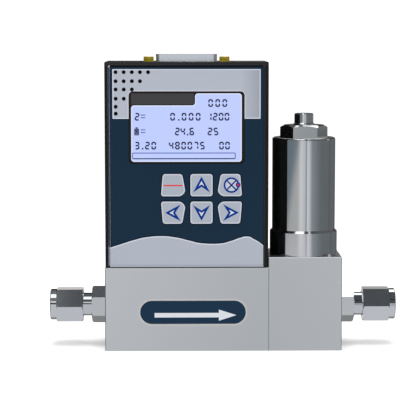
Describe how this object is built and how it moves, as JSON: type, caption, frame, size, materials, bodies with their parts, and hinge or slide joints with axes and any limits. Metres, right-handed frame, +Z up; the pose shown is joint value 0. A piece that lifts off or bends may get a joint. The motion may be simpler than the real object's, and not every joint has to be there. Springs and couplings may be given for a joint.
{
  "type": "gas mass flow meter",
  "caption": "Inline gas mass flow meter: steel flow body with tube fittings, upright display housing with keys and a round solenoid valve beside it.",
  "frame": {"origin": "under the middle of the two joined blocks, on the plane that the meter stands on", "axes": "+X along the flow from the inlet to the outlet, +Y from the front panel to the back, +Z up"},
  "size_m": [0.1532, 0.031, 0.1295],
  "materials": {
    "block_steel": "finely milled and bead blasted, satin",
    "bright_steel": "turned and polished",
    "polished_can": "polished to a mirror",
    "inner_steel": "plain",
    "plunger_iron": "ground",
    "seal_rubber": "matt",
    "screw_steel": "plain",
    "black_screw": "blackened",
    "housing_black": "black anodised, satin",
    "overlay_film": "printed film, satin",
    "window_clear": "clear over the lit display",
    "display_glass": "polished",
    "backlight": "white, lit from the side",
    "circuit_board": "solder mask",
    "component_black": "moulded",
    "connector_metal": "tin plated",
    "insulator_black": "moulded",
    "contact_gold": "gold plated",
    "jackscrew_zinc": "yellow passivated",
    "copper": "enamelled wire",
    "plate_print": "printed"
  },
  "bodies": {
    "meter_body": {"back_panel": "housing_black", "back_panel_screws": "black_screw", "base_bracket": "inner_steel", "block_bolts": "screw_steel", "block_seal": "seal_rubber", "board_components": "component_black", "board_screws": "screw_steel", "board_spacers": "inner_steel", "bracket_screws": "screw_steel", "coil_bobbin": "insulator_black", "coil_cover": "polished_can", "coil_winding": "copper", "connector_contacts": "contact_gold", "connector_insulator": "insulator_black", "connector_jackscrews": "jackscrew_zinc", "connector_shell": "connector_metal", "display_backlight": "backlight", "display_board": "circuit_board", "display_frame": "inner_steel", "display_glass": "display_glass", "display_window": "window_clear", "fixed_core": "bright_steel", "flow_block": "block_steel", "flow_plate": "plate_print", "flow_splitter": "inner_steel", "front_overlay": "overlay_film", "guide_tube": "inner_steel", "housing_screws": "black_screw", "housing_shell": "housing_black", "inlet_back_ferrule": "bright_steel", "inlet_connector": "bright_steel", "inlet_filter": "inner_steel", "inlet_front_ferrule": "bright_steel", "inlet_nut": "bright_steel", "inlet_port_seal": "seal_rubber", "key_domes": "inner_steel", "main_board": "circuit_board", "outlet_back_ferrule": "bright_steel", "outlet_connector": "bright_steel", "outlet_front_ferrule": "bright_steel", "outlet_nut": "bright_steel", "outlet_port_seal": "seal_rubber", "return_spring": "inner_steel", "sensor_base": "inner_steel", "sensor_cover": "inner_steel", "sensor_screws": "screw_steel", "sensor_seals": "seal_rubber", "sensor_tube": "inner_steel", "sensor_windings": "copper", "valve_base": "bright_steel", "valve_base_seal": "seal_rubber", "valve_block": "block_steel", "valve_nut": "bright_steel", "valve_seat": "inner_steel"},
    "valve_plunger": {"plunger": "plunger_iron", "plunger_seal": "seal_rubber"}
  },
  "joints": [
    {"name": "valve_stroke", "type": "slide", "parent": "meter_body", "child": "valve_plunger", "axis": [0, 0, 1], "range_m": [0, 0.0005], "stiffness_N_per_m": 400, "springref_m": -0.004, "deforming": ["return_spring"]}
  ]
}
